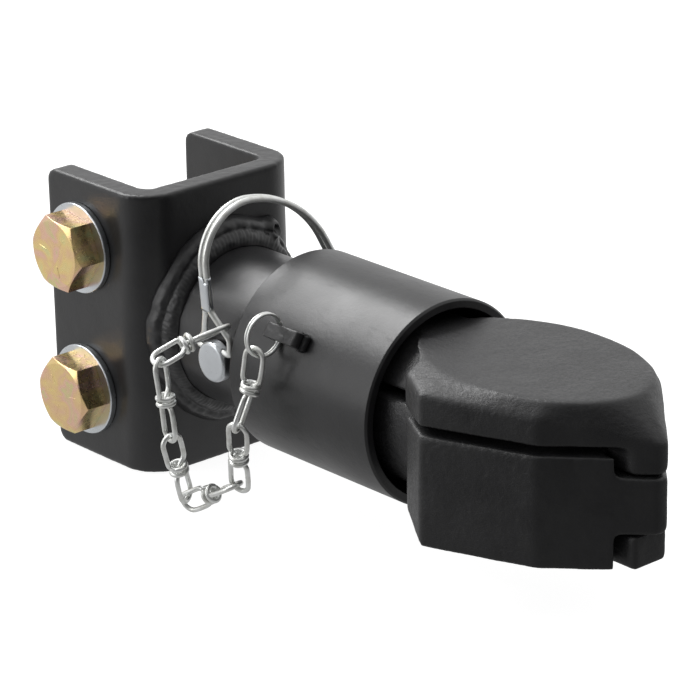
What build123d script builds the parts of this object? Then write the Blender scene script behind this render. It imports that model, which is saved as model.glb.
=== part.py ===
"""Sleeve-lock ball coupler with a channel mount, for a 2-5/16 inch ball.

Frame: millimetres, +X forward to the coupler's nose, +Z up, +Y to the right-hand side.
The origin is the centre of the bolt pattern, on the coupler's middle plane.
"""
from build123d import *
from math import atan, cos, degrees, radians, sin
import os

# Channel bracket
BRACKET_HEIGHT = 104.8
BRACKET_WIDTH = 73.0
PLATE = 9.5
BEND_RADIUS = 14.0
FLANGE_DEPTH = 54.8
FLANGE_CORNER = 4.5
WEB_X = 35.7
BOLT_SPACING = 54.0

# Bolts, washers and nuts, 5/8 inch
BOLT_RADIUS = 7.94
BOLT_HOLE_RADIUS = 8.4
HEX_FLATS = 25.0
HEX_TURN = -7.0
HEAD_HEIGHT = 9.9
NUT_HEIGHT = 9.5
BOLT_STICK_OUT = 2.2
WASHER_RADIUS = 16.67
WASHER_THICKNESS = 2.5

# Shank tube, its weld and the locking sleeve
TUBE_RADIUS = 28.5
TUBE_BORE = 22.3
TUBE_END = WEB_X + 84.0
WELD_HEIGHT = 9.5
WELD_WIDTH = 8.0
WELD_SIDE_RADIUS = 33.2
SLEEVE_RADIUS = 36.5
SLEEVE_BORE = 33.3
SLEEVE_GUIDE_BORE = 28.8
SLEEVE_REAR = WEB_X + 45.2
SLEEVE_STEP = WEB_X + 70.0
SLEEVE_FRONT = WEB_X + 116.3

# Castings
HEAD_BOTTOM = -29.0
FLAT_TOP = 28.0
NECK_RADIUS = 29.5
COLLAR_RADIUS = 32.1
COLLAR_LENGTH = 14.0
CORE_RADIUS = 18.5
TAIL_BORE = 20.0
TAIL_START = WEB_X + 87.0
SPIGOT_LENGTH = 18.0
NECK_END = WEB_X + 136.0
JAW_TOP = 10.4
GAP = 2.8
SIDE_GAP = 1.2
BALL_X = WEB_X + 166.0
BALL_Z = -8.4
SOCKET_RADIUS = 29.6
MOUTH_RADIUS = 24.0
HEAD_CORNERS = ((134.0, 35.0), (150.0, 43.6), (188.4, 28.7), (217.3, 2.1))
NEAR_WALL_TOP = (25.5, 24.8, 22.6, 15.0)
FAR_WALL_TOP = (21.0, 20.6, 20.4, 15.0)
OVAL_CENTRE = 159.0
OVAL_LENGTH = 45.5
OVAL_WIDTH = 31.0
OVAL_ANGLES = (128.0, 104.0, 49.0, 9.0)

# Nose hinge
HINGE_X = WEB_X + 205.5
HINGE_PIN_RADIUS = 4.75
HINGE_CLEARANCE = 0.05
HINGE_PIN_TOP = 12.0
TAB_BOTTOM = -16.6
TAB_TOP = 3.7
TAB_PLAY = 0.35
TAB_RADIUS = 12.1
TAB_SWING_RADIUS = 12.7
SLOT_RADIUS = 10.8
JAW_FRONT = HINGE_X + 2.6
LUG_RADIUS = 9.7
LUG_SIDE = 7.9
NUB_FRONT = WEB_X + 211.6
NUB_SIDE = 7.0

# Lock pin, bail and ferrule
PIN_X = WEB_X + 31.0
PIN_RADIUS = 3.2
PIN_HOLE_RADIUS = 3.7
PIN_TIP = 34.0
HEAD_RADIUS = 7.4
HEAD_INNER = -29.1
HEAD_OUTER = -32.9
HEAD_BORE_DEPTH = 2.4
WIRE_RADIUS = 1.15
WIRE_SPACING = 1.2
BAIL_HINGE_Y = -31.0
BAIL_HINGE_Z = 4.5
BAIL_FOOT = 3.5
# Corners of each leg from the foot's bend to the ferrule, sideways from the pin, Y and Z
BAIL_LEGS = {
    -1: ((-9.5, -31.0, 4.5), (-4.6, -31.3, 9.6), (-1.2, -33.2, 18.5)),
    1: ((8.8, -31.0, 4.5), (8.8, -31.0, 10.2), (1.2, -33.2, 19.5)),
}
BAIL_SHOULDER = (-36.2, 57.0)
BAIL_CREST = (8.5, 54.0)
BAIL_END = (39.6, -3.0)
BAIL_END_SPREAD = 2.4
FERRULE_BOTTOM = 19.5
FERRULE_TOP = 32.0
FERRULE_WIDTH = 5.6
FERRULE_DEPTH = 3.2

# Ring, strap and chain
STRAP_ANGLE = 57.6
STRAP_REAR = WEB_X + 64.0
STRAP_FRONT = WEB_X + 80.5
STRAP_WIDTH = 5.4
STRAP_OUTER = 42.2
STRAP_INNER = 40.4
STRAP_FOOT_REAR = 2.6
STRAP_FOOT_FRONT = 6.5
RING_X = WEB_X + 68.3
RING_DISTANCE = 44.95
RING_ANGLE = 60.9
RING_RADIUS = 7.5
RING_WIRE = 0.6
RING_COIL = 0.55
LINK_WIRE = 1.0
LINK_HALF_WIDTH = 3.5
KNOT_RADIUS = 3.6
KNOT_LENGTH = 4.2
KNOT_OVERLAP = 0.35
# Each link from the split ring round to the bail's right leg: tip, knot, other tip, and the sideways
# direction of the loop at each tip. X is from the web's face.
LINKS = (
    ((68.3, -43.2, 18.1), (66.2, -44.1, 3.3), (63.9, -49.2, -11.5), (0.95, 0.3, 0.0), (0.46, -0.88, 0.13)),
    ((64.0, -48.5, -9.4), (60.3, -45.3, -23.5), (56.5, -42.0, -37.6), (0.91, 0.38, -0.16), (0.93, 0.3, -0.18)),
    ((56.5, -42.8, -35.3), (43.8, -44.6, -42.3), (31.0, -46.5, -49.3), (0.15, -0.98, -0.05), (0.37, 0.3, -0.87)),
    ((33.0, -46.6, -47.0), (34.0, -50.9, -33.6), (34.9, -55.1, -20.1), (0.37, -0.87, -0.34), (0.15, 0.94, 0.32)),
    ((34.6, -54.3, -22.1), (33.9, -55.4, -7.0), (33.1, -57.0, 8.2), (0.99, -0.13, 0.0), (-0.4, 1.0, 0.0)),
    ((30.5, -57.2, 6.4), (33.5, -45.1, 11.0), (37.3, -29.6, 14.2), (0.94, -0.12, -0.31), (0.83, 0.0, 0.56)),
)


def box_between(low, high):
    """Box from its lowest corner to its highest one."""
    size = [b - a for a, b in zip(low, high)]
    middle = [(a + b) / 2 for a, b in zip(low, high)]
    return Pos(*middle) * Box(*size)


def rod_x(radius, start, end, y=0.0, z=0.0):
    """Round bar along X."""
    return Pos((start + end) / 2, y, z) * Rot(0, 90, 0) * Cylinder(radius, end - start)


def rod_y(radius, start, end, x=0.0, z=0.0):
    """Round bar along Y."""
    return Pos(x, (start + end) / 2, z) * Rot(90, 0, 0) * Cylinder(radius, end - start)


def rod_z(radius, start, end, x=0.0, y=0.0):
    """Round bar along Z."""
    return Pos(x, y, (start + end) / 2) * Cylinder(radius, end - start)


def tube_along(path, radius):
    """Round wire along a path."""
    start = path.position_at(0)
    section = Plane(origin=start, z_dir=path.tangent_at(0)) * Circle(radius)
    return sweep(section, path=path)


def channel_bracket():
    """Bent C-channel plate, open to the rear, with two bolt holes across it."""
    half = BRACKET_WIDTH / 2
    rear = WEB_X - FLANGE_DEPTH
    middle = (WEB_X + rear) / 2
    outer = Pos(middle, 0, 0) * Box(FLANGE_DEPTH, BRACKET_WIDTH, BRACKET_HEIGHT)
    bends = outer.edges().filter_by(Axis.Z).sort_by(Axis.X)[-2:]
    outer = fillet(bends, BEND_RADIUS)
    inner = box_between(
        (rear - 1, -half + PLATE, -BRACKET_HEIGHT), (WEB_X - PLATE, half - PLATE, BRACKET_HEIGHT)
    )
    inner = fillet(inner.edges().filter_by(Axis.Z).sort_by(Axis.X)[-2:], BEND_RADIUS - PLATE)
    body = outer - inner
    corners = body.edges().filter_by(Axis.Y).sort_by(Axis.X)[:4]
    body = fillet(corners, FLANGE_CORNER)
    for side in (-1, 1):
        body -= rod_y(BOLT_HOLE_RADIUS, -half - 1, half + 1, z=side * BOLT_SPACING / 2)
    return body


def hex_block(start, end, z, both_ends=False):
    """Hexagon along Y with its corners turned away at its low end, or at both ends."""
    outline = Plane.XZ.offset(-start) * RegularPolygon(HEX_FLATS / 2, 6, major_radius=False, rotation=HEX_TURN)
    corner = HEX_FLATS / 2 / cos(radians(30))
    face = HEX_FLATS / 2 - 0.4
    drop = (corner - face) * 0.58
    profile = [(0, start), (face, start), (corner, start + drop), (corner, end), (0, end)]
    if both_ends:
        profile[3:4] = [(corner, end - drop), (face, end)]
    turned = revolve(make_face(Polyline(*profile, close=True)), Axis.Y)
    return Pos(0, 0, z) * (extrude(outline, start - end) & turned)


def bolts():
    """Two hex bolts across the bracket, heads on the left-hand side."""
    half = BRACKET_WIDTH / 2
    seat = -half - WASHER_THICKNESS
    end = half + NUT_HEIGHT + BOLT_STICK_OUT
    made = []
    for side in (-1, 1):
        z = side * BOLT_SPACING / 2
        shank = rod_y(BOLT_RADIUS, seat - 1, end, z=z)
        shank = chamfer(shank.faces().sort_by(Axis.Y)[-1].edges(), 1.2)
        made.append(hex_block(seat - HEAD_HEIGHT, seat, z) + shank)
    return Compound(children=made)


def washers():
    """One washer under each bolt head."""
    half = BRACKET_WIDTH / 2
    made = []
    for side in (-1, 1):
        z = side * BOLT_SPACING / 2
        disc = rod_y(WASHER_RADIUS, -half - WASHER_THICKNESS, -half, z=z)
        disc = fillet(disc.edges().filter_by(GeomType.CIRCLE), 0.4)
        made.append(disc - rod_y(BOLT_HOLE_RADIUS, -half - WASHER_THICKNESS - 1, -half + 1, z=z))
    return Compound(children=made)


def nuts():
    """Two thin hex nuts against the right-hand flange."""
    start = BRACKET_WIDTH / 2
    made = []
    for side in (-1, 1):
        z = side * BOLT_SPACING / 2
        nut = hex_block(start, start + NUT_HEIGHT, z, both_ends=True)
        made.append(nut - rod_y(BOLT_RADIUS, start - 1, start + NUT_HEIGHT + 1, z=z))
    return Compound(children=made)


def shank_tube():
    """Round tube from the bracket's web to the castings, drilled across for the lock pin."""
    tube = rod_x(TUBE_RADIUS, WEB_X, TUBE_END) - rod_x(TUBE_BORE, WEB_X - 1, TUBE_END + 1)
    return tube - rod_y(PIN_HOLE_RADIUS, -TUBE_RADIUS - 1, TUBE_RADIUS + 1, x=PIN_X)


def tube_weld():
    """Fillet weld round the tube that also fills the hollow over the bracket's bends."""
    toe = (WEB_X + WELD_WIDTH, TUBE_RADIUS)
    face_toe = (WEB_X, TUBE_RADIUS + WELD_HEIGHT)
    bulge = (WEB_X + WELD_WIDTH * 0.62, TUBE_RADIUS + WELD_HEIGHT * 0.62)
    outline = Polyline(toe, (WEB_X, TUBE_RADIUS), face_toe) + ThreePointArc(face_toe, bulge, toe)
    bead = revolve(make_face(outline), Axis.X)
    bead += rod_x(WELD_SIDE_RADIUS, WEB_X - 5, WEB_X) - rod_x(TUBE_RADIUS, WEB_X - 6, WEB_X + 1)
    oval = Plane.YZ.offset(WEB_X - 6) * Ellipse(WELD_SIDE_RADIUS, TUBE_RADIUS + WELD_HEIGHT)
    return (bead & extrude(oval, WELD_WIDTH + 7)) - channel_bracket()


def locking_sleeve():
    """Sleeve with a guide bore on the tube and a wider bore round the castings' tails."""
    sleeve = rod_x(SLEEVE_RADIUS, SLEEVE_REAR, SLEEVE_FRONT)
    sleeve = chamfer(sleeve.edges().filter_by(GeomType.CIRCLE), 0.7)
    sleeve -= rod_x(SLEEVE_GUIDE_BORE, SLEEVE_REAR - 1, SLEEVE_FRONT)
    sleeve -= rod_x(SLEEVE_BORE, SLEEVE_STEP, SLEEVE_FRONT + 1)
    return sleeve


def on_sleeve(shape):
    """Turn a shape made on top of the sleeve round to the strap's place."""
    return Rot(STRAP_ANGLE, 0, 0) * shape


def lanyard_strap():
    """Small bridge on the sleeve that the split ring passes under."""
    half = STRAP_WIDTH / 2
    bar = box_between((STRAP_REAR, -half, SLEEVE_RADIUS - 2), (STRAP_FRONT, half, STRAP_OUTER))
    ends = bar.edges().filter_by(Axis.Y).group_by(Axis.Z)[-1]
    bar = fillet(ends, 1.5)
    bar -= box_between(
        (STRAP_REAR + STRAP_FOOT_REAR, -half - 1, 0), (STRAP_FRONT - STRAP_FOOT_FRONT, half + 1, STRAP_INNER)
    )
    bar -= rod_x(SLEEVE_RADIUS, STRAP_REAR - 1, STRAP_FRONT + 1)
    return on_sleeve(bar)


def strap_weld():
    """Weld bead across the strap's front foot."""
    bead = Pos(STRAP_FRONT - 0.4, 0, SLEEVE_RADIUS + 1.2) * Rot(90, 0, 0) * Cylinder(2.4, STRAP_WIDTH + 1.2)
    bead = fillet(bead.edges().filter_by(GeomType.CIRCLE), 1.1)
    bead -= rod_x(SLEEVE_RADIUS, STRAP_REAR, STRAP_FRONT + 5)
    half = STRAP_WIDTH / 2
    bead -= box_between((STRAP_REAR, -half, 0), (STRAP_FRONT, half, STRAP_OUTER + 5))
    return on_sleeve(bead)


def oval_point(angle, side):
    """Point on the flat top's oval edge."""
    x = WEB_X + OVAL_CENTRE + OVAL_LENGTH * cos(radians(angle))
    return Vector(x, side * OVAL_WIDTH * sin(radians(angle)), FLAT_TOP)


def head_ring():
    """Corner points round the head: floor, wall top and oval point, with the oval's angle."""
    ring = []
    for side, tops in ((-1, NEAR_WALL_TOP), (1, FAR_WALL_TOP)):
        rows = list(zip(HEAD_CORNERS, tops, OVAL_ANGLES))
        if side == 1:
            rows.reverse()
        for (x, y), top, angle in rows:
            floor = Vector(WEB_X + x, side * y, HEAD_BOTTOM)
            wall = Vector(WEB_X + x, side * y, top)
            ring.append((floor, wall, oval_point(angle, side), side * angle))
    return ring


def head_block():
    """Outer form of the head: upright walls, sloping shoulders and a flat oval top."""
    ring = head_ring()
    faces = []
    floor_edges = []
    oval_edges = []
    for index, (floor, wall, oval, angle) in enumerate(ring):
        floor_b, wall_b, oval_b, angle_b = ring[(index + 1) % len(ring)]
        middle = (angle + angle_b) / 2
        if angle > angle_b:
            middle += 180
        arc = ThreePointArc(oval, oval_point(abs(middle), 1 if middle > 0 else -1), oval_b)
        if angle > angle_b:
            arc = ThreePointArc(oval, oval_point(180, 1), oval_b)
        top = Line(wall, wall_b)
        faces.append(make_face(Polyline(floor, floor_b, wall_b, wall, close=True)))
        faces.append(Face.make_surface_from_curves(top.edge(), arc.edge()))
        floor_edges.append(Line(floor, floor_b).edge())
        oval_edges.append(arc.edge())
    faces.append(Face(Wire(floor_edges)))
    faces.append(Face(Wire(oval_edges)))
    return Solid(Shell([face.face() for face in faces]))


def neck_block():
    """Round neck behind the head, with a collar at its rear end that the sleeve holds."""
    neck = rod_x(NECK_RADIUS, TUBE_END, NECK_END)
    neck &= box_between((TUBE_END, -50, HEAD_BOTTOM), (NECK_END, 50, FLAT_TOP))
    collar = rod_x(COLLAR_RADIUS, TAIL_START, TAIL_START + COLLAR_LENGTH)
    collar = chamfer(collar.edges().filter_by(GeomType.CIRCLE), 2.4)
    return neck + collar


def casting_envelope():
    """Head and neck in one, with the chamfer under the rear corners."""
    body = head_block() + neck_block()
    rear = WEB_X + HEAD_CORNERS[0][0]
    corner = WEB_X + HEAD_CORNERS[1][0]
    wedge = Polyline(
        (rear - 1, 0, HEAD_BOTTOM - 1), (corner, 0, HEAD_BOTTOM - 1), (corner, 0, HEAD_BOTTOM),
        (rear - 1, 0, HEAD_BOTTOM + 6.5), close=True,
    )
    return body - extrude(make_face(wedge), 60, both=True)


def socket():
    """Ball socket and the round mouth under it."""
    ball = Pos(BALL_X, 0, BALL_Z) * Sphere(SOCKET_RADIUS)
    return ball + rod_z(MOUTH_RADIUS, HEAD_BOTTOM - 5, BALL_Z, x=BALL_X)


def near_side(top, side_gap):
    """Everything on the jaw's side of the split, below a level."""
    return box_between((TAIL_START - 20, -60, -60), (HINGE_X + 60, -side_gap, top))


def side_jaw():
    """Side-opening jaw: near wall of the socket, tail in the sleeve and hinge tab at the nose."""
    body = casting_envelope() & near_side(JAW_TOP, SIDE_GAP)
    body -= box_between((TUBE_END - 1, -60, -60), (TAIL_START, 60, 60))
    body -= rod_z(SLOT_RADIUS, -60, 60, x=HINGE_X)
    body -= box_between((JAW_FRONT, -60, -60), (HINGE_X + 60, 60, 60))
    tab = casting_envelope() & rod_z(TAB_RADIUS, TAB_BOTTOM, TAB_TOP, x=HINGE_X)
    body += tab
    body -= rod_x(TAIL_BORE, TUBE_END, BALL_X - SOCKET_RADIUS + 6)
    body -= socket()
    return body - rod_z(HINGE_PIN_RADIUS + HINGE_CLEARANCE, -60, 60, x=HINGE_X)


def nose_lugs():
    """Upper and lower lugs round the hinge pin."""
    round_lug = rod_z(LUG_RADIUS, -60, 60, x=HINGE_X)
    upper = round_lug + box_between((HINGE_X, -LUG_SIDE, -60), (HINGE_X + 60, 60, 60))
    upper &= box_between((HINGE_X - 20, -LUG_SIDE, TAB_TOP + TAB_PLAY), (HINGE_X + 60, 60, 60))
    lower = round_lug + box_between((HINGE_X, -NUB_SIDE, -60), (NUB_FRONT, 60, 60))
    lower &= box_between((HINGE_X - 20, -NUB_SIDE, -60), (NUB_FRONT, 60, TAB_BOTTOM - TAB_PLAY))
    return casting_envelope() & (upper + lower)


def main_casting():
    """Top, far wall and core of the coupler, with the lugs of the nose hinge."""
    body = casting_envelope() - near_side(JAW_TOP + GAP, -SIDE_GAP)
    body += rod_x(CORE_RADIUS, TUBE_END, NECK_END)
    body -= rod_z(TAB_SWING_RADIUS, TAB_BOTTOM - TAB_PLAY, TAB_TOP + TAB_PLAY, x=HINGE_X)
    body += nose_lugs()
    body += rod_x(TUBE_BORE, TUBE_END - SPIGOT_LENGTH, TAIL_START - 0.5)
    body -= socket()
    body -= box_between((NUB_FRONT, -60, -60), (NUB_FRONT + 20, 60, TAB_BOTTOM - TAB_PLAY))
    return body - rod_z(HINGE_PIN_RADIUS, -60, HINGE_PIN_TOP, x=HINGE_X)


def hinge_pin():
    """Pin pressed up into the nose lugs from below."""
    pin = rod_z(HINGE_PIN_RADIUS, HEAD_BOTTOM + 0.4, HINGE_PIN_TOP, x=HINGE_X)
    return chamfer(pin.edges().filter_by(GeomType.CIRCLE), 0.6)


def lock_pin():
    """Straight pin across the tube, with a turned tip."""
    pin = rod_y(PIN_RADIUS, HEAD_INNER - HEAD_BORE_DEPTH, PIN_TIP, x=PIN_X)
    return chamfer(pin.faces().sort_by(Axis.Y)[-1].edges(), 1.2)


def pin_head():
    """Round button on the pin, cross-drilled for the bail."""
    head = rod_y(HEAD_RADIUS, HEAD_OUTER, HEAD_INNER, x=PIN_X)
    head = fillet(head.faces().sort_by(Axis.Y)[0].edges(), 1.3)
    head -= rod_y(PIN_RADIUS, HEAD_INNER - HEAD_BORE_DEPTH, HEAD_INNER + 1, x=PIN_X)
    reach = HEAD_RADIUS + 2
    hole = WIRE_RADIUS + 0.1
    return head - rod_x(hole, PIN_X - reach, PIN_X + reach, y=BAIL_HINGE_Y, z=BAIL_HINGE_Z)


def bail_wire(side):
    """One wire of the bail: foot in the head, leg, ferrule, arch and half of the end bend."""
    close = PIN_X + side * WIRE_SPACING
    path = FilletPolyline(
        (PIN_X + side * BAIL_FOOT, BAIL_HINGE_Y, BAIL_HINGE_Z),
        *[(PIN_X + x, y, z) for x, y, z in BAIL_LEGS[side]],
        (close, *BAIL_SHOULDER),
        (close, *BAIL_CREST),
        (PIN_X + side * BAIL_END_SPREAD, *BAIL_END),
        (PIN_X, *BAIL_END),
        radius=[1.2, 3.0, 4.0, 19.0, 43.0, 2.0],
    )
    return tube_along(path, WIRE_RADIUS)


def pin_bail():
    """Double wire that arches over the tube and closes past the pin's tip."""
    return bail_wire(-1) + bail_wire(1)


def bail_ferrule():
    """Flattened clip round both wires above the head."""
    foot_y, foot_z = BAIL_LEGS[1][-1][1:]
    lean = (BAIL_SHOULDER[0] - foot_y) / (BAIL_SHOULDER[1] - foot_z)
    middle = (FERRULE_BOTTOM + FERRULE_TOP) / 2
    block = Box(FERRULE_WIDTH, FERRULE_DEPTH, FERRULE_TOP - FERRULE_BOTTOM)
    block = fillet(block.edges().filter_by(Axis.Z), 1.4)
    place = Pos(PIN_X, foot_y + lean * (middle - foot_z), middle) * Rot(-degrees(atan(lean)), 0, 0)
    return place * block - pin_bail()


def split_ring():
    """Ring of two turns through the strap, which carries the chain."""
    turn = Pos(0, 0, RING_DISTANCE) * Rot(0, 90, 0) * Torus(RING_RADIUS, RING_WIRE)
    ring = Pos(RING_X - RING_COIL, 0, 0) * turn + Pos(RING_X + RING_COIL, 0, 0) * turn
    return Rot(RING_ANGLE, 0, 0) * ring


def link_loop(knot, tip, side):
    """Closed loop of wire from the knot to the link's tip."""
    along = (tip - knot).normalized()
    across = (Vector(*side) - along * Vector(*side).dot(along)).normalized()
    half = across * LINK_HALF_WIDTH
    near = knot + along * LINK_HALF_WIDTH
    far = tip - along * LINK_HALF_WIDTH
    path = Wire([
        Line(near + half, far + half).edge(),
        ThreePointArc(far + half, tip, far - half).edge(),
        Line(far - half, near - half).edge(),
        ThreePointArc(near - half, knot, near + half).edge(),
    ])
    section = Plane(origin=near + half, z_dir=along) * Circle(LINK_WIRE)
    return sweep(section, path=path)


def chain_link(start, knot, end, start_side, end_side):
    """Double-loop link: two loops joined by a wrapped knot."""
    start, knot, end = [Vector(WEB_X + x, y, z) for x, y, z in (start, knot, end)]
    wrap = Plane(origin=knot, z_dir=end - start) * Cylinder(KNOT_RADIUS, KNOT_LENGTH)
    wrap = fillet(wrap.edges().filter_by(GeomType.CIRCLE), LINK_WIRE)
    overlap = (end - start).normalized() * KNOT_OVERLAP
    first = link_loop(knot + overlap, start, start_side)
    second = link_loop(knot - overlap, end, end_side)
    return (first + second) + wrap


def parts():
    """Every node by name."""
    nodes = {
        "channel_bracket": channel_bracket(),
        "shank_tube": shank_tube(),
        "tube_weld": tube_weld(),
        "main_casting": main_casting(),
        "side_jaw": side_jaw(),
        "jaw_hinge_pin": hinge_pin(),
        "locking_sleeve": locking_sleeve(),
        "lanyard_strap": lanyard_strap(),
        "strap_weld": strap_weld(),
        "split_ring": split_ring(),
        "lock_pin": lock_pin(),
        "pin_head": pin_head(),
        "pin_bail": pin_bail(),
        "bail_ferrule": bail_ferrule(),
        "tongue_bolts": bolts(),
        "head_washers": washers(),
        "tongue_nuts": nuts(),
    }
    for index, link in enumerate(LINKS):
        nodes[f"chain_link_{index + 1}"] = chain_link(*link)
    return nodes


os.makedirs("parts", exist_ok=True)
for name, shape in parts().items():
    export_step(shape, f"parts/{name}.step")
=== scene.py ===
"""Looks of the sleeve-lock ball coupler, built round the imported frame. Metres, +X to the nose, +Z up."""
from math import asin, cos, pi, radians, sin, sqrt

import bmesh
import bpy
import numpy as np
from mathutils import Matrix, Vector, noise


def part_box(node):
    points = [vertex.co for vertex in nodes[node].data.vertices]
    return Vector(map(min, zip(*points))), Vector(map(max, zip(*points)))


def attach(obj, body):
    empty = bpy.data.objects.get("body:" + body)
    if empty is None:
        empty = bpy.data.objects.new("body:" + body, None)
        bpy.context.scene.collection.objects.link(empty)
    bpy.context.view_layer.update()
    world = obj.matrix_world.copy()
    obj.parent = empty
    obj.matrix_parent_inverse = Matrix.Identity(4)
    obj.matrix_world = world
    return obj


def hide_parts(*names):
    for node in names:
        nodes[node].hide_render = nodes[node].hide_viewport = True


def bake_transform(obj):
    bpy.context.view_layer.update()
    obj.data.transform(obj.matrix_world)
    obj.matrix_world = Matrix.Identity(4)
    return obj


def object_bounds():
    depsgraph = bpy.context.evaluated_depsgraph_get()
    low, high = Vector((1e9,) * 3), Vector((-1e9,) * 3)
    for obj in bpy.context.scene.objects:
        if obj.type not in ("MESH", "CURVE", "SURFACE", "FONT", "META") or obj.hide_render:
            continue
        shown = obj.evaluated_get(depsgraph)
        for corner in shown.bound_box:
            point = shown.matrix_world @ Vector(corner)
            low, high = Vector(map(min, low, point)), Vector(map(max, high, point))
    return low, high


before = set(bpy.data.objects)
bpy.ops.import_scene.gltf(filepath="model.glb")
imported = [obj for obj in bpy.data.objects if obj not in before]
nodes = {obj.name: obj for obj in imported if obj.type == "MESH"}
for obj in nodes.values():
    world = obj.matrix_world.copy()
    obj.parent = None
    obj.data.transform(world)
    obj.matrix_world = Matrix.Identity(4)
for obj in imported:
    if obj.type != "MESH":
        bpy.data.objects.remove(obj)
cad_low, cad_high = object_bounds()
MM = 0.001

# Camera
EYE = Vector((988.5, -773.0, 450.1)) * MM
VIEW_AZIMUTH, VIEW_ELEVATION, VIEW_ROLL = radians(48.88), radians(20.7), radians(-1.01)
LENS = 186.9

# Places taken from the frame
TUBE_LOW, TUBE_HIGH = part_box("shank_tube")
WEB_X = TUBE_LOW.x
TUBE_RADIUS = (TUBE_HIGH.z - TUBE_LOW.z) / 2
BRACKET_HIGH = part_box("channel_bracket")[1]
BEND_RADIUS = 14.0 * MM

# Even meshes of the plate, castings and strap, in millimetres, and their rounds of smoothing
PLATE_VOXEL, PLATE_ROUNDS = 0.8, 6
CASTING_VOXEL, CASTING_ROUNDS = 0.8, 24
STRAP_VOXEL, STRAP_ROUNDS = 0.3, 5
STRAP_WELD_INSET = 0.6

# Weld round the tube: reach along it, half height and half width on the web, and the end crater
WELD_REACH = 8.0 * MM
WELD_TOP = 38.4 * MM
WELD_SIDE = 33.2 * MM
WELD_AROUND, WELD_ACROSS = 480, 26
FIRST_PASS = 0.52
CRATER_TURN = radians(34)
CRATER_DISTANCE = 36.4 * MM

# Split ring, ferrule and grade marks
RING_WIRE = 0.56 * MM
FERRULE_HALF_DEPTH = 1.6 * MM
FERRULE_HALF_HEIGHT = 6.2 * MM
FERRULE_LEAN = radians(4.57)
FERRULE_SHEET = 0.45 * MM
BOLT_LEVEL = 27.0 * MM

# Chain, as in the part's source: each link's tip, knot, other tip and the sides of its two loops.
# The places are in millimetres, with X measured from the bracket's web.
LINKS = (
    ((68.3, -43.2, 18.1), (66.2, -44.1, 3.3), (63.9, -49.2, -11.5),
     (0.95, 0.3, 0.0), (0.46, -0.88, 0.13)),
    ((64.0, -48.5, -9.4), (60.3, -45.3, -23.5), (56.5, -42.0, -37.6),
     (0.91, 0.38, -0.16), (0.93, 0.3, -0.18)),
    ((56.5, -42.8, -35.3), (43.8, -44.6, -42.3), (31.0, -46.5, -49.3),
     (0.15, -0.98, -0.05), (0.37, 0.3, -0.87)),
    ((33.0, -46.6, -47.0), (34.0, -50.9, -33.6), (34.9, -55.1, -20.1),
     (0.37, -0.87, -0.34), (0.15, 0.94, 0.32)),
    ((34.6, -54.3, -22.1), (33.9, -55.4, -7.0), (33.1, -57.0, 8.2),
     (0.99, -0.13, 0.0), (-0.4, 1.0, 0.0)),
    ((30.5, -57.2, 6.4), (33.5, -45.1, 11.0), (37.3, -29.6, 14.2),
     (0.94, -0.12, -0.31), (0.83, 0.0, 0.56)),
)
LINK_WIRE = 0.9 * MM
LINK_HALF_WIDTH = 3.5 * MM
COIL_RADIUS = 2.7 * MM


# ---------------------------------------------------------------- camera, light and floor

def make_camera():
    """Camera to the right of the nose and above it, aimed by azimuth, elevation and roll."""
    a, e = VIEW_AZIMUTH, VIEW_ELEVATION
    back = Vector((sin(a) * cos(e), -cos(a) * cos(e), sin(e)))
    right = Vector((0, 0, 1)).cross(back).normalized()
    up = back.cross(right)
    c, s = cos(VIEW_ROLL), sin(VIEW_ROLL)
    right, up = right * c + up * s, up * c - right * s
    data = bpy.data.cameras.new("camera")
    data.lens = LENS
    data.sensor_width = 36
    data.clip_start, data.clip_end = 0.05, 50
    camera = bpy.data.objects.new("camera", data)
    bpy.context.scene.collection.objects.link(camera)
    camera.matrix_world = Matrix((right, up, back)).transposed().to_4x4()
    camera.location = EYE
    bpy.context.scene.camera = camera


def area_light(name, direction, distance, size, power):
    """Softbox aimed at the middle of the object."""
    middle = (cad_low + cad_high) / 2
    data = bpy.data.lights.new(name, "AREA")
    data.shape = "RECTANGLE"
    data.size, data.size_y = size
    data.energy = power
    light = bpy.data.objects.new(name, data)
    bpy.context.scene.collection.objects.link(light)
    direction = Vector(direction).normalized()
    light.location = middle + direction * distance
    light.rotation_mode = "QUATERNION"
    light.rotation_quaternion = direction.to_track_quat("Z", "Y")


def make_world():
    """Soft surround: bright behind and above the object, dim on the camera's side."""
    world = bpy.data.worlds.new("studio")
    world.use_nodes = True
    bpy.context.scene.world = world
    tree = world.node_tree
    tree.nodes.clear()
    coords = tree.nodes.new("ShaderNodeTexCoord")
    dot = tree.nodes.new("ShaderNodeVectorMath")
    dot.operation = "DOT_PRODUCT"
    dot.inputs[1].default_value = Vector((-0.62, 0.5, 0.6)).normalized()
    ramp = tree.nodes.new("ShaderNodeMapRange")
    ramp.interpolation_type = "SMOOTHSTEP"
    ramp.inputs["From Min"].default_value = -0.7
    ramp.inputs["From Max"].default_value = 0.75
    ramp.inputs["To Min"].default_value = 0.1
    ramp.inputs["To Max"].default_value = 1.2
    background = tree.nodes.new("ShaderNodeBackground")
    out = tree.nodes.new("ShaderNodeOutputWorld")
    tree.links.new(coords.outputs["Generated"], dot.inputs[0])
    tree.links.new(dot.outputs["Value"], ramp.inputs["Value"])
    tree.links.new(ramp.outputs["Result"], background.inputs["Strength"])
    tree.links.new(background.outputs[0], out.inputs["Surface"])


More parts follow.
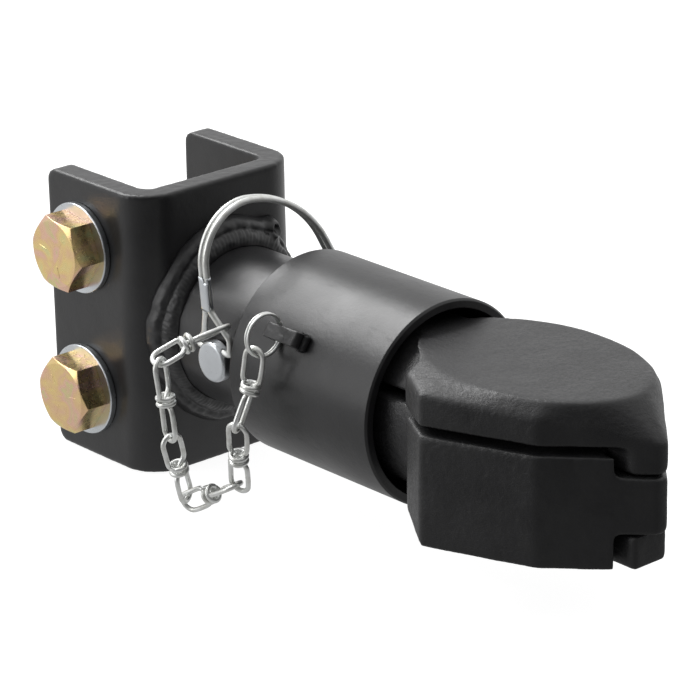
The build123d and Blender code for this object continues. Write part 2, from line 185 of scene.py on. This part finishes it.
def make_floor():
    """Pale floor just under the object. It looks white, and lights the object from below only softly."""
    mesh = bpy.data.meshes.new("floor")
    span, level = 6.0, cad_low.z - 0.5 * MM
    mesh.from_pydata([(-span, -span, level), (span, -span, level), (span, span, level), (-span, span, level)],
                     [], [(0, 1, 2, 3)])
    floor = bpy.data.objects.new("floor", mesh)
    bpy.context.scene.collection.objects.link(floor)
    material = bpy.data.materials.new("pale_floor")
    material.use_nodes = True
    tree = material.node_tree
    tree.nodes.clear()
    new, link = tree.nodes.new, tree.links.new
    seen = new("ShaderNodeBsdfDiffuse")
    seen.inputs["Color"].default_value = (0.3, 0.3, 0.3, 1)
    glow = new("ShaderNodeEmission")
    glow.inputs["Strength"].default_value = 0.93
    shown = new("ShaderNodeAddShader")
    dim = new("ShaderNodeEmission")
    coords = new("ShaderNodeTexCoord")
    dot = new("ShaderNodeVectorMath")
    dot.operation = "DOT_PRODUCT"
    dot.inputs[1].default_value = Vector((-0.8, 0.3, 0)).normalized()
    fall = new("ShaderNodeMapRange")
    fall.interpolation_type = "SMOOTHSTEP"
    fall.inputs["From Min"].default_value = -0.35
    fall.inputs["From Max"].default_value = 0.12
    fall.inputs["To Min"].default_value = 0.18
    fall.inputs["To Max"].default_value = 0.8
    path = new("ShaderNodeLightPath")
    mix = new("ShaderNodeMixShader")
    out = new("ShaderNodeOutputMaterial")
    link(seen.outputs[0], shown.inputs[0])
    link(glow.outputs[0], shown.inputs[1])
    link(coords.outputs["Object"], dot.inputs[0])
    link(dot.outputs["Value"], fall.inputs["Value"])
    link(fall.outputs["Result"], dim.inputs["Strength"])
    link(path.outputs["Is Camera Ray"], mix.inputs["Fac"])
    link(dim.outputs[0], mix.inputs[1])
    link(shown.outputs[0], mix.inputs[2])
    link(mix.outputs[0], out.inputs["Surface"])
    mesh.materials.append(material)


# ---------------------------------------------------------------- materials

class Paint:
    """A Principled material and short calls for the nodes that drive it. Scales are per millimetre."""

    def __init__(self, name, colour, metallic=0.0, roughness=0.5, coat=0.0, coat_roughness=0.1):
        self.material = bpy.data.materials.new(name)
        self.material.use_nodes = True
        self.tree = self.material.node_tree
        self.shader = self.tree.nodes["Principled BSDF"]
        self.shader.inputs["Base Color"].default_value = (*colour, 1)
        self.shader.inputs["Metallic"].default_value = metallic
        self.shader.inputs["Roughness"].default_value = roughness
        self.shader.inputs["Coat Weight"].default_value = coat
        self.shader.inputs["Coat Roughness"].default_value = coat_roughness
        coords = self.tree.nodes.new("ShaderNodeTexCoord")
        self.place = coords.outputs["Object"]

    def node(self, kind, **inputs):
        made = self.tree.nodes.new(kind)
        for name, value in inputs.items():
            self.feed(made.inputs[name.replace("_", " ")], value)
        return made

    def feed(self, socket, value):
        if isinstance(value, bpy.types.NodeSocket):
            self.tree.links.new(value, socket)
        else:
            socket.default_value = value

    def stretched(self, scale):
        """Object coordinates in millimetres, stretched along the axes."""
        mapping = self.node("ShaderNodeMapping", Vector=self.place)
        mapping.inputs["Scale"].default_value = [1000 * s for s in scale]
        return mapping.outputs["Vector"]

    def noise(self, scale, detail=3.0, rough=0.5, distortion=0.0, stretch=(1, 1, 1)):
        made = self.node("ShaderNodeTexNoise", Vector=self.stretched(stretch), Scale=scale, Detail=detail,
                         Roughness=rough, Distortion=distortion)
        return made.outputs["Fac"]

    def spread(self, value, low, high, to_low=0.0, to_high=1.0):
        made = self.node("ShaderNodeMapRange", Value=value)
        made.inputs["From Min"].default_value = low
        made.inputs["From Max"].default_value = high
        made.inputs["To Min"].default_value = to_low
        made.inputs["To Max"].default_value = to_high
        return made.outputs["Result"]

    def ramp(self, value, *stops):
        made = self.node("ShaderNodeValToRGB", Fac=value)
        points = made.color_ramp.elements
        while len(points) < len(stops):
            points.new(0.5)
        for point, (place, colour) in zip(points, stops):
            point.position = place
            point.color = (*colour, 1)
        return made.outputs["Color"]

    def mix(self, share, first, second):
        made = self.node("ShaderNodeMix")
        made.data_type = "RGBA"
        self.feed(made.inputs["Factor"], share)
        self.feed(made.inputs["A"], first)
        self.feed(made.inputs["B"], second)
        return made.outputs["Result"]

    def math(self, operation, first, second):
        made = self.tree.nodes.new("ShaderNodeMath")
        made.operation = operation
        self.feed(made.inputs[0], first)
        self.feed(made.inputs[1], second)
        return made.outputs["Value"]

    def bump(self, height, depth, normal=None):
        """Bump of a height from 0 to 1, this many millimetres deep."""
        made = self.node("ShaderNodeBump", Height=height, Distance=depth * MM)
        if normal is not None:
            self.tree.links.new(normal, made.inputs["Normal"])
        return made.outputs["Normal"]

    def soft_edges(self, radius):
        """Normals rounded off over sharp edges, in millimetres."""
        made = self.tree.nodes.new("ShaderNodeBevel")
        made.samples = 6
        made.inputs["Radius"].default_value = radius * MM
        return made.outputs["Normal"]

    def colour(self, value):
        self.feed(self.shader.inputs["Base Color"], value)

    def roughness(self, value):
        self.feed(self.shader.inputs["Roughness"], value)

    def normal(self, value):
        self.tree.links.new(value, self.shader.inputs["Normal"])


def coated_steel(name, edge=0.5):
    """Semi-gloss black powder coat: orange peel, a fine grain and slow changes of gloss."""
    paint = Paint(name, (0.014, 0.014, 0.015), roughness=0.36)
    patches = paint.noise(0.045, 5, 0.6)
    fine = paint.noise(1.6, 4, 0.6)
    paint.colour(paint.ramp(patches, (0.35, (0.012, 0.012, 0.013)), (0.7, (0.019, 0.019, 0.02))))
    scuffs = paint.noise(0.5, 6, 0.7, stretch=(0.25, 1, 1))
    gloss = paint.spread(patches, 0.3, 0.75, 0.3, 0.4)
    paint.roughness(paint.math("ADD", gloss, paint.spread(scuffs, 0.55, 0.75, 0.0, 0.1)))
    waves = paint.bump(paint.noise(0.12, 2, 0.4), 0.14, paint.soft_edges(edge))
    peel = paint.bump(paint.noise(0.75, 2, 0.5), 0.035, waves)
    paint.normal(paint.bump(fine, 0.022, peel))
    return paint.material


def painted_casting(name):
    """Black paint over a sand-cast surface, thin and grey on the edges."""
    paint = Paint(name, (0.018, 0.018, 0.019), roughness=0.42)
    geometry = paint.tree.nodes.new("ShaderNodeNewGeometry")
    blotches = paint.noise(0.08, 5, 0.6)
    grain = paint.noise(0.9, 5, 0.6)
    edge = paint.spread(geometry.outputs["Pointiness"], 0.53, 0.6)
    worn = paint.math("MULTIPLY", edge, paint.spread(paint.noise(0.6, 4, 0.7), 0.35, 0.65))
    base = paint.ramp(blotches, (0.35, (0.015, 0.015, 0.016)), (0.7, (0.023, 0.023, 0.024)))
    paint.colour(paint.mix(worn, base, (0.075, 0.073, 0.07, 1)))
    gloss = paint.spread(blotches, 0.3, 0.7, 0.34, 0.46)
    paint.roughness(paint.math("ADD", gloss, paint.spread(grain, 0.45, 0.7, 0.0, 0.12)))
    swell = paint.bump(paint.noise(0.16, 3, 0.5, 0.6), 0.25)
    ripples = paint.bump(paint.noise(0.5, 3, 0.6, 0.8, stretch=(0.7, 0.7, 1.6)), 0.1, swell)
    sand = paint.bump(grain, 0.09, ripples)
    paint.normal(paint.bump(paint.noise(3.2, 3, 0.6), 0.03, sand))
    return paint.material


def yellow_zinc(name):
    """Yellow chromate over zinc: gold that drifts to pink and green, with fine scratches."""
    paint = Paint(name, (0.6, 0.45, 0.2), metallic=1.0, roughness=0.3)
    drift = paint.noise(0.07, 2, 0.5, 1.5)
    patches = paint.ramp(drift, (0.3, (0.66, 0.62, 0.3)), (0.42, (0.78, 0.58, 0.25)),
                         (0.52, (0.74, 0.5, 0.28)), (0.6, (0.76, 0.47, 0.37)), (0.72, (0.62, 0.56, 0.27)))
    fine = paint.noise(0.45, 4, 0.6)
    paint.colour(paint.mix(paint.spread(fine, 0.4, 0.75, 0, 0.25), patches, (0.84, 0.66, 0.4, 1)))
    paint.roughness(paint.spread(paint.noise(0.5, 4, 0.6), 0.35, 0.7, 0.24, 0.34))
    dents = paint.bump(paint.noise(0.16, 2, 0.4), 0.06, paint.soft_edges(0.35))
    paint.normal(paint.bump(paint.noise(2.0, 2, 0.5), 0.004, dents))
    return paint.material


def bright_zinc(name, colour=(0.6, 0.625, 0.65)):
    """Clear zinc plate: bluish, slightly cloudy, with fine handling marks."""
    paint = Paint(name, colour, metallic=1.0, roughness=0.3)
    cloud = paint.noise(0.1, 3, 0.5)
    light = tuple(min(1, c * 1.08) for c in colour)
    dark = tuple(c * 0.86 for c in colour)
    paint.colour(paint.ramp(cloud, (0.3, dark), (0.7, light)))
    paint.roughness(paint.spread(paint.noise(0.4, 4, 0.6), 0.3, 0.7, 0.26, 0.36))
    swell = paint.bump(paint.noise(0.12, 2, 0.4), 0.05, paint.soft_edges(0.4))
    paint.normal(paint.bump(paint.noise(2.0, 2, 0.5), 0.003, swell))
    return paint.material


def bright_wire(name):
    """Drawn and plated wire: pale and satin, with slow streaks and a few dull spots."""
    paint = Paint(name, (0.78, 0.79, 0.77), metallic=0.9, roughness=0.38)
    spots = paint.noise(0.28, 3, 0.55)
    paint.colour(paint.ramp(spots, (0.3, (0.64, 0.64, 0.61)), (0.5, (0.78, 0.79, 0.77)),
                            (0.75, (0.86, 0.87, 0.87))))
    paint.roughness(paint.spread(spots, 0.3, 0.7, 0.44, 0.34))
    paint.normal(paint.bump(paint.noise(1.2, 2, 0.5), 0.006))
    return paint.material


# ---------------------------------------------------------------- mesh helpers

def new_piece(name, vertices, faces, material, body):
    """Mesh piece with smooth shading, which rides on a body if one is named."""
    mesh = bpy.data.meshes.new(name)
    mesh.from_pydata([tuple(v) for v in vertices], [], faces)
    mesh.update()
    piece = bpy.data.objects.new(name, mesh)
    bpy.context.scene.collection.objects.link(piece)
    return dress(piece, material, body)


def dress(piece, material, body):
    """Material, smooth shading and body of a piece. A piece with no body named rides on none here."""
    mesh = piece.data
    mesh.materials.clear()
    mesh.materials.append(material)
    mesh.polygons.foreach_set("use_smooth", [True] * len(mesh.polygons))
    mesh.polygons.foreach_set("material_index", [0] * len(mesh.polygons))
    if body:
        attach(piece, body)
    return piece


def spline(points, steps):
    """Smooth curve through the points, with this many steps from each to the next."""
    p = np.array([tuple(v) for v in points], float)
    p = np.vstack([2 * p[0] - p[1], p, 2 * p[-1] - p[-2]])
    t = np.linspace(0, 1, steps, endpoint=False)[:, None]
    spans = []
    for a, b, c, d in zip(p, p[1:], p[2:], p[3:]):
        spans.append(b + 0.5 * t * (c - a + t * (2 * a - 5 * b + 4 * c - d + t * (3 * b - a - 3 * c + d))))
    return np.vstack([*spans, p[-2]])


def wire_mesh(path, radius, sides=16):
    """Vertices and faces of a round wire along a path, with both ends rounded off."""
    path = np.array(path)
    tangents = np.gradient(path, axis=0)
    tangents /= np.linalg.norm(tangents, axis=1)[:, None]
    lead = [(-0.75, 0.35), (-0.5, 0.7), (-0.2, 0.93)]
    rings = [(path[0] + tangents[0] * radius * k, radius * s, tangents[0]) for k, s in lead]
    rings += [(p, radius, t) for p, t in zip(path, tangents)]
    rings += [(path[-1] - tangents[-1] * radius * k, radius * s, tangents[-1]) for k, s in reversed(lead)]
    normal = Vector(rings[0][2]).orthogonal().normalized()
    angles = np.linspace(0, 2 * pi, sides, endpoint=False)
    vertices = []
    for centre, size, tangent in rings:
        tangent = Vector(tangent)
        normal = (normal - tangent * normal.dot(tangent)).normalized()
        side = tangent.cross(normal)
        ring = np.outer(np.cos(angles), normal) + np.outer(np.sin(angles), side)
        vertices.append(np.array(centre) + ring * size)
    faces = grid_faces(len(rings), sides)
    faces.append(tuple(reversed(range(sides))))
    faces.append(tuple(range((len(rings) - 1) * sides, len(rings) * sides)))
    return np.vstack(vertices), faces


def grid_faces(rows, columns, wrap_rows=False):
    """Quads of a grid whose rows are closed rings, and which can close on itself as well."""
    faces = []
    for row in range(rows if wrap_rows else rows - 1):
        here, there = row * columns, (row + 1) % rows * columns
        for column in range(columns):
            beside = (column + 1) % columns
            faces.append((here + column, here + beside, there + beside, there + column))
    return faces


def remeshed(node, name, voxel, rounds):
    """Copy of a CAD node as an even mesh with its edges rounded off like a casting's or a sheared plate's."""
    mesh = nodes[node].data.copy()
    piece = bpy.data.objects.new(name, mesh)
    bpy.context.scene.collection.objects.link(piece)
    remesh = piece.modifiers.new("even", "REMESH")
    remesh.mode = "VOXEL"
    remesh.voxel_size = voxel * MM
    smooth = piece.modifiers.new("round", "SMOOTH")
    smooth.factor = 0.5
    smooth.iterations = rounds
    bpy.context.view_layer.update()
    even = bpy.data.meshes.new_from_object(piece.evaluated_get(bpy.context.evaluated_depsgraph_get()))
    piece.modifiers.clear()
    piece.data = even
    even.name = name
    return piece


def roughen(mesh, height):
    """Moves each vertex along its normal by height(place), in millimetres, but not out of the CAD's box."""
    count = len(mesh.vertices)
    places = np.zeros(count * 3, np.float32)
    normals = np.zeros(count * 3, np.float32)
    mesh.vertices.foreach_get("co", places)
    mesh.vertices.foreach_get("normal", normals)
    places = places.reshape(-1, 3)
    heights = np.array([height(Vector(p) / MM) for p in places])
    places += normals.reshape(-1, 3) * (heights * MM)[:, None]
    places = np.clip(places, cad_low, cad_high)
    mesh.vertices.foreach_set("co", places.ravel())
    mesh.update()


# ---------------------------------------------------------------- pieces

def make_bracket(material):
    """Channel plate with rounded shear edges and the small burrs that shearing leaves."""
    piece = remeshed("channel_bracket", "bracket_plate", PLATE_VOXEL, PLATE_ROUNDS)
    rim = BRACKET_HIGH.z / MM

    def height(place):
        slow = noise.noise(place * 0.05) * 0.12
        near = max(0.0, 1 - (rim - abs(place.z)) / 1.6)
        burr = noise.noise(Vector((place.x, place.y, place.z * 2)) * 0.55)
        return slow + near * (0.1 * burr + 0.06 * noise.noise(place * 1.7))

    roughen(piece.data, height)
    dress(piece, material, "root")
    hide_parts("channel_bracket")


def make_casting(node, name, body, material):
    """Casting with rounded edges and a slightly uneven skin."""
    piece = remeshed(node, name, CASTING_VOXEL, CASTING_ROUNDS)

    def height(place):
        skin = 0.14 * noise.noise(place * 0.09) + 0.05 * noise.noise(place * 0.5)
        return skin + 0.025 * noise.noise(place * 1.4)

    roughen(piece.data, height)
    dress(piece, material, body)
    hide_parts(node)


def make_strap(coat, weld):
    """Strap and its weld with the soft, lumpy edges that paint over a weld has."""
    make_strap_piece("lanyard_strap", "strap_bar", coat, 0.0)
    make_strap_piece("strap_weld", "strap_bead", weld, STRAP_WELD_INSET)


def make_strap_piece(node, name, material, inset):
    """One lumpy piece of the strap, shrunk by the inset in millimetres."""
    piece = remeshed(node, name, STRAP_VOXEL, STRAP_ROUNDS)

    def height(place):
        return 0.16 * noise.noise(place * 0.6) + 0.05 * noise.noise(place * 2.1) - inset

    roughen(piece.data, height)
    dress(piece, material, "sleeve")
    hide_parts(node)


def bracket_face(y):
    """X of the bracket's outer face beside the tube: flat in the middle, then the bend."""
    flat = BRACKET_HIGH.y - BEND_RADIUS
    beyond = min(max(0.0, abs(y) - flat), BEND_RADIUS * 0.98)
    return WEB_X - BEND_RADIUS + sqrt(BEND_RADIUS ** 2 - beyond ** 2)


def weld_height(share, turn, outward, wander):
    """Height in millimetres above the line between the weld's toes, at a share of the way out."""
    inner = share < FIRST_PASS
    ends = sin(pi * share)
    if inner:
        hump = 0.9 * abs(sin(pi * share / FIRST_PASS))
        ripple = 0.1 * sin(turn * 122 + 2.0 * cos(share * 6) + 1.6 * wander)
    else:
        hump = 1.3 * sin(pi * (share - FIRST_PASS) / 0.48)
        ripple = 0.16 * sin(turn * 31 + 3.0 * share + 2.5 * wander)
    grit = noise.noise(Vector((share * 7, outward.y * 17, outward.z * 17)))
    return 1.0 * ends + hump * (0.9 + 0.25 * wander) + ends * (ripple + 0.28 * grit)


def dig_crater(vertices):
    """Pushes the weld's end up in a small rim and down in its middle."""
    hole = Vector((WEB_X - 0.3 * MM, CRATER_DISTANCE * sin(CRATER_TURN), CRATER_DISTANCE * cos(CRATER_TURN)))
    for vertex in vertices:
        gap = (vertex.yz - hole.yz).length / MM
        if gap < 6 and vertex.x > WEB_X - 6 * MM:
            vertex.x += (1.5 * np.exp(-((gap - 2.4) / 1.0) ** 2) - 1.3 * np.exp(-(gap / 1.3) ** 2)) * MM


def make_tube_weld(material):
    """Two-pass weld round the tube, with ripples, uneven edges and a small end crater."""
    vertices = []
    for row in range(WELD_AROUND):
        turn = 2 * pi * row / WELD_AROUND
        outward = Vector((0, sin(turn), cos(turn)))
        wander = noise.noise(outward * 3.1) * 0.8 + noise.noise(outward * 8.0) * 0.5
        past = (turn - CRATER_TURN + pi) % (2 * pi) - pi
        oval = 1 / sqrt((outward.y / WELD_SIDE) ** 2 + (outward.z / WELD_TOP) ** 2)
        oval += (3.6 * np.exp(-(past / radians(6.5)) ** 2) + 0.6 * wander) * MM
        toe = Vector((WEB_X + WELD_REACH * (1 + 0.07 * wander), *(outward * TUBE_RADIUS).yz))
        foot = outward * oval
        foot.x = bracket_face(foot.y)
        slope = Vector((foot.length - TUBE_RADIUS, *(outward * (toe.x - foot.x)).yz)).normalized()
        for column in range(WELD_ACROSS):
            share = column / (WELD_ACROSS - 1)
            vertices.append(toe.lerp(foot, share) + slope * weld_height(share, turn, outward, wander) * MM)
        vertices.append(Vector((foot.x - 2 * MM, *(outward * (TUBE_RADIUS - 0.6 * MM)).yz)))
    dig_crater(vertices)
    faces = grid_faces(WELD_AROUND, WELD_ACROSS + 1, wrap_rows=True)
    piece = new_piece("tube_weld_bead", vertices, faces, material, "root")
    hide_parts("tube_weld")


def half_link(knot, tip, side):
    """Wire of half a link: a turn round the knot, out along one leg, round the tip and back to the middle."""
    along = (tip - knot).normalized()
    across = (Vector(side) - along * Vector(side).dot(along)).normalized()
    third = along.cross(across)
    length = (tip - knot).length
    half = LINK_HALF_WIDTH
    points = []
    for turn in range(-330, -29, 30):
        a = radians(turn)
        points.append((1.05 * MM - 0.1 * MM * turn / 360, -COIL_RADIUS * cos(a), COIL_RADIUS * sin(a)))
    points.append((1.9 * MM, -0.86 * half, 0.1 * half))
    points.append((3.6 * MM, -half, 0))
    points.append(((length - half + 3.6 * MM) / 2, -half, 0))
    for turn in range(-90, 91, 30):
        a = radians(turn)
        points.append((length - half + half * cos(a), half * sin(a), 0))
    points.append(((length - half + 3.8 * MM) / 2, half, 0))
    points.append((3.8 * MM, 0.9 * half, 0))
    points.append((1.9 * MM, 0.5 * half, 0))
    return [knot + along * a + across * b + third * c for a, b, c in points]


def make_link(index, material):
    """Double-loop link bent from one wire, both ends wrapped round its middle.

    The last link rides on the bail's body and turns with it. The others ride on no body and their places are
    baked
    into their meshes: the one before it lies between pin and bail, the first four between the root and the
    pin.
    """
    start, knot, end = [Vector((WEB_X / MM + x, y, z)) * MM for x, y, z in LINKS[index][:3]]
    first = half_link(knot, start, LINKS[index][3])
    second = half_link(knot, end, LINKS[index][4])
    path = spline(first + [knot] + second[::-1], 6)
    vertices, faces = wire_mesh(path, LINK_WIRE)
    last = index == len(LINKS) - 1
    body = "bail" if last else None
    piece = new_piece(f"chain_wire_{index + 1}", vertices, faces, material, body)
    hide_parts(f"chain_link_{index + 1}")
    if index == len(LINKS) - 2:
        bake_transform(piece)
    elif not last:
        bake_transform(piece)


def make_ring(material):
    """Split ring of two flat turns, with its ends side by side."""
    low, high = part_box("split_ring")
    centre = (low + high) / 2
    radius = (high.z - low.z) / 2 - 0.6 * MM
    points = []
    for step in range(-4, 49):
        a = radians(step * 15) + radians(25)
        offset = min(1, max(-1, (step - 22) / 3.2)) * RING_WIRE
        points.append(centre + Vector((offset, radius * cos(a), radius * sin(a))))
    vertices, faces = wire_mesh(spline(points, 4), RING_WIRE, 12)
    piece = new_piece("ring_coil", vertices, faces, material, "root")
    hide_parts("split_ring")


def make_ferrule(material):
    """Strip folded flat round the bail's two wires, its lap and stepped ends on the front."""
    low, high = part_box("bail_ferrule")
    middle = (low + high) / 2
    half = Vector(((high.x - low.x) / 2, FERRULE_HALF_DEPTH))
    tall = FERRULE_HALF_HEIGHT
    lean = Matrix.Rotation(FERRULE_LEAN, 3, "X")
    sheet = FERRULE_SHEET
    columns, rows = 60, 14
    outer, inner = [], []
    for column in range(columns):
        share = column / (columns - 1)
        a = radians(-62) + share * (2 * pi + radians(38))
        grow = share * sheet * 0.9
        power = 0.62
        x = np.sign(cos(a)) * abs(cos(a)) ** power
        y = np.sign(sin(a)) * abs(sin(a)) ** power
        step_top = 1.7 * MM if share > 0.86 else 0.0
        step_bottom = 1.5 * MM if share < 0.12 else 0.0
        bottom, top = step_bottom - tall, tall - step_top
        for row in range(rows):
            z = bottom + (top - bottom) * row / (rows - 1)
            pinch = 1 - 0.05 * sin(pi * row / (rows - 1))
            for layer, places in ((1, outer), (2, inner)):
                room = half - Vector((1, 1)) * (layer * sheet - grow)
                places.append(middle + lean @ Vector((x * room.x * pinch, y * room.y, z)))
    mesh = bmesh.new()
    sheets = [[mesh.verts.new(v) for v in side] for side in (outer, inner)]
    for side, flip in zip(sheets, (False, True)):
        for column in range(columns - 1):
            for row in range(rows - 1):
                quad = [side[column * rows + row], side[(column + 1) * rows + row],
                        side[(column + 1) * rows + row + 1], side[column * rows + row + 1]]
                mesh.faces.new(quad[::-1] if flip else quad)
    rim = [c * rows for c in range(columns)] + [(columns - 1) * rows + r for r in range(1, rows)]
    rim += [c * rows + rows - 1 for c in range(columns - 2, -1, -1)] + list(range(rows - 2, 0, -1))
    for here, there in zip(rim, rim[1:] + rim[:1]):
        mesh.faces.new((sheets[0][there], sheets[0][here], sheets[1][here], sheets[1][there]))
    bmesh.ops.recalc_face_normals(mesh, faces=mesh.faces)
    data = bpy.data.meshes.new("ferrule_strip")
    mesh.to_mesh(data)
    mesh.free()
    piece = bpy.data.objects.new("ferrule_strip", data)
    bpy.context.scene.collection.objects.link(piece)
    dress(piece, material, "bail")
    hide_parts("bail_ferrule")


def make_grade_marks(material):
    """Three raised radial strokes on each bolt head, the usual mark of the bolt's strength."""
    low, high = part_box("tongue_bolts")
    middle = (low + high) / 2
    for bolt, side in enumerate((-1, 1)):
        centre = Vector((middle.x, low.y, side * BOLT_LEVEL))
        mesh = bmesh.new()
        for turn in (0, 120, 240):
            a = radians(turn + 8 + 40 * bolt)
            ray = Vector((cos(a), 0, sin(a)))
            path = [centre + ray * r * MM + Vector((0, 0.18 * MM, 0)) for r in (4.6, 5.4, 7.2, 8.6)]
            vertices, faces = wire_mesh(spline(path, 3), 0.3 * MM, 10)
            made = [mesh.verts.new(v) for v in vertices]
            for face in faces:
                mesh.faces.new([made[i] for i in face])
        data = bpy.data.meshes.new("grade_marks")
        mesh.to_mesh(data)
        mesh.free()
        piece = bpy.data.objects.new(f"grade_marks_{bolt + 1}", data)
        bpy.context.scene.collection.objects.link(piece)
        dress(piece, material, "root")


def finish_node(name, material):
    """Material for a CAD node that stays as it is."""
    node = nodes[name]
    node.data.materials.clear()
    node.data.materials.append(material)


make_camera()
make_world()
make_floor()
area_light("key", (-0.66, -0.12, 0.74), 1.1, (1.0, 0.42), 10)
area_light("fill", (-0.45, -0.85, 0.2), 1.6, (0.9, 0.9), 5.5)

coat = coated_steel("black_powder_coat")
cast = painted_casting("black_cast_paint")
weld = coated_steel("painted_weld_metal", 0.2)
gold = yellow_zinc("yellow_zinc_plate")
zinc = bright_zinc("clear_zinc_plate")
wire = bright_wire("plated_wire")

make_bracket(coat)
make_casting("main_casting", "head_casting", "root", cast)
make_casting("side_jaw", "jaw_casting", "jaw", cast)
make_strap(coat, weld)
make_tube_weld(weld)
for index in range(len(LINKS)):
    make_link(index, wire)
make_ring(wire)
make_ferrule(zinc)
make_grade_marks(gold)

for name in ("shank_tube", "locking_sleeve", "jaw_hinge_pin"):
    finish_node(name, coat)
for name in ("tongue_bolts", "tongue_nuts"):
    finish_node(name, gold)
for name in ("head_washers", "lock_pin", "pin_head"):
    finish_node(name, zinc)
finish_node("pin_bail", wire)

scene = bpy.context.scene
scene.view_settings.view_transform = "Standard"
